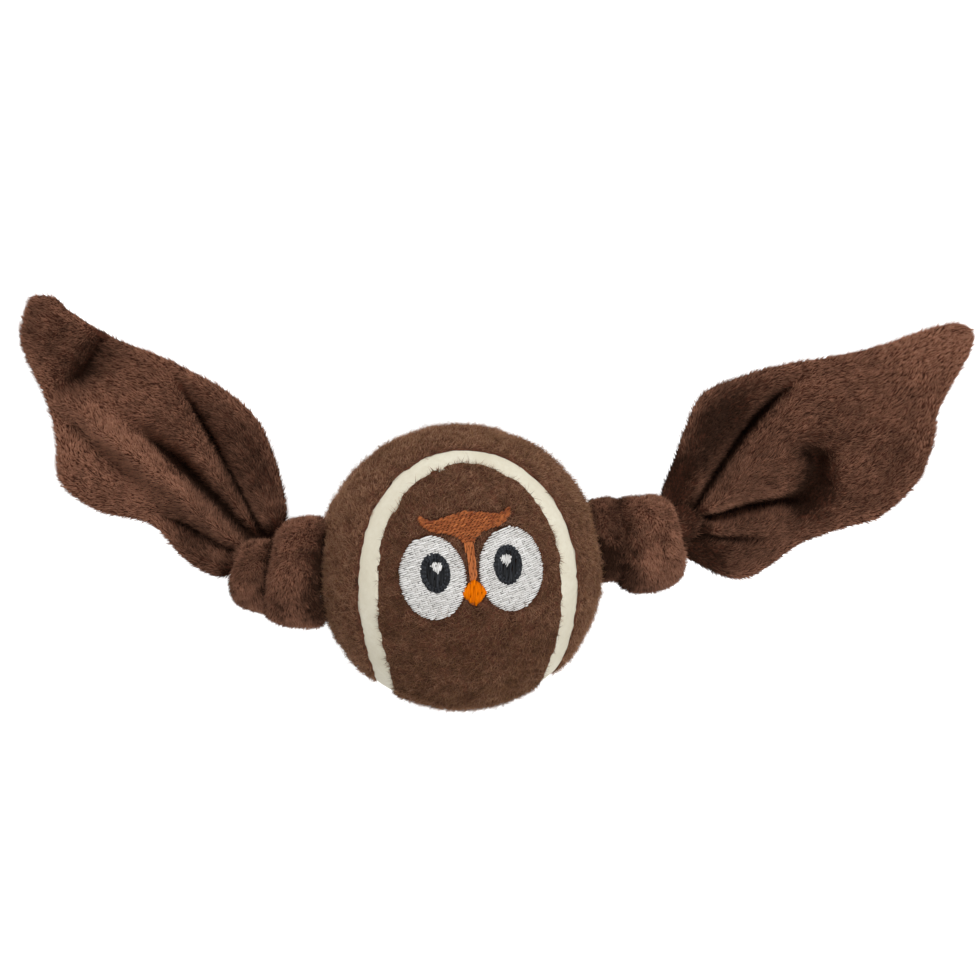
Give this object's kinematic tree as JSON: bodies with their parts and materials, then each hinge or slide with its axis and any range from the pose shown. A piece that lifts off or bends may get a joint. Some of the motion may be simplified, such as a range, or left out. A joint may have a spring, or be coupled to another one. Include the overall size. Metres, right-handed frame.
{
  "type": "owl dog toy",
  "caption": "Felt-covered fetch ball with an embroidered owl face, on a plush strip that is knotted against both sides of the ball and opens into floppy sewn wings.",
  "frame": {"origin": "middle of the small flat under the ball that the toy rests on when it lies on its back", "axes": "+X along the plush strip to the owl's right in the picture, +Y to the owl's crown, +Z out of its face"},
  "size_m": [0.2241, 0.0971, 0.0654],
  "materials": {
    "core_rubber": "matt moulded",
    "felt": "brushed wool felt",
    "seam_cement": "matt vulcanised cement",
    "plush": "short pile",
    "white_thread": "satin stitch",
    "black_thread": "satin stitch",
    "rust_thread": "satin stitch",
    "orange_thread": "satin stitch"
  },
  "bodies": {
    "ball": {"core_left_half": "core_rubber", "core_right_half": "core_rubber", "felt_face_panel": "felt", "felt_side_panel": "felt", "seam_band": "seam_cement", "centre_strap": "plush", "brow": "rust_thread", "beak": "orange_thread", "eye_white_left": "white_thread", "pupil_left": "black_thread", "eye_highlight_left": "white_thread", "eye_white_right": "white_thread", "pupil_right": "black_thread", "eye_highlight_right": "white_thread"},
    "left_knot": {"left_knot_core": "plush", "left_knot_wrap": "plush", "left_knot_bight": "plush", "left_wing_gather": "plush"},
    "left_wing": {"left_wing_front_panel": "plush", "left_wing_back_panel": "plush", "left_wing_upper_seam": "plush", "left_wing_lower_seam": "plush"},
    "right_knot": {"right_knot_core": "plush", "right_knot_wrap": "plush", "right_knot_bight": "plush", "right_wing_gather": "plush"},
    "right_wing": {"right_wing_front_panel": "plush", "right_wing_back_panel": "plush", "right_wing_upper_seam": "plush", "right_wing_lower_seam": "plush"}
  },
  "joints": [
    {"name": "left_knot_twist", "type": "hinge", "parent": "ball", "child": "left_knot", "pos_m": [-0.0325, 0, 0.032], "axis": [1, 0, 0], "range_deg": [-60, 60]},
    {"name": "left_wing_flop", "type": "hinge", "parent": "left_knot", "child": "left_wing", "pos_m": [-0.04984, 0.01193, 0.02187], "axis": [0.766, 0.6428, 0], "range_deg": [-60, 70]},
    {"name": "right_knot_twist", "type": "hinge", "parent": "ball", "child": "right_knot", "pos_m": [0.0325, 0, 0.032], "axis": [1, 0, 0], "range_deg": [-60, 60]},
    {"name": "right_wing_flop", "type": "hinge", "parent": "right_knot", "child": "right_wing", "pos_m": [0.06132, 0.01234, 0.02187], "axis": [0.342, -0.9397, 0], "range_deg": [-60, 70]}
  ]
}
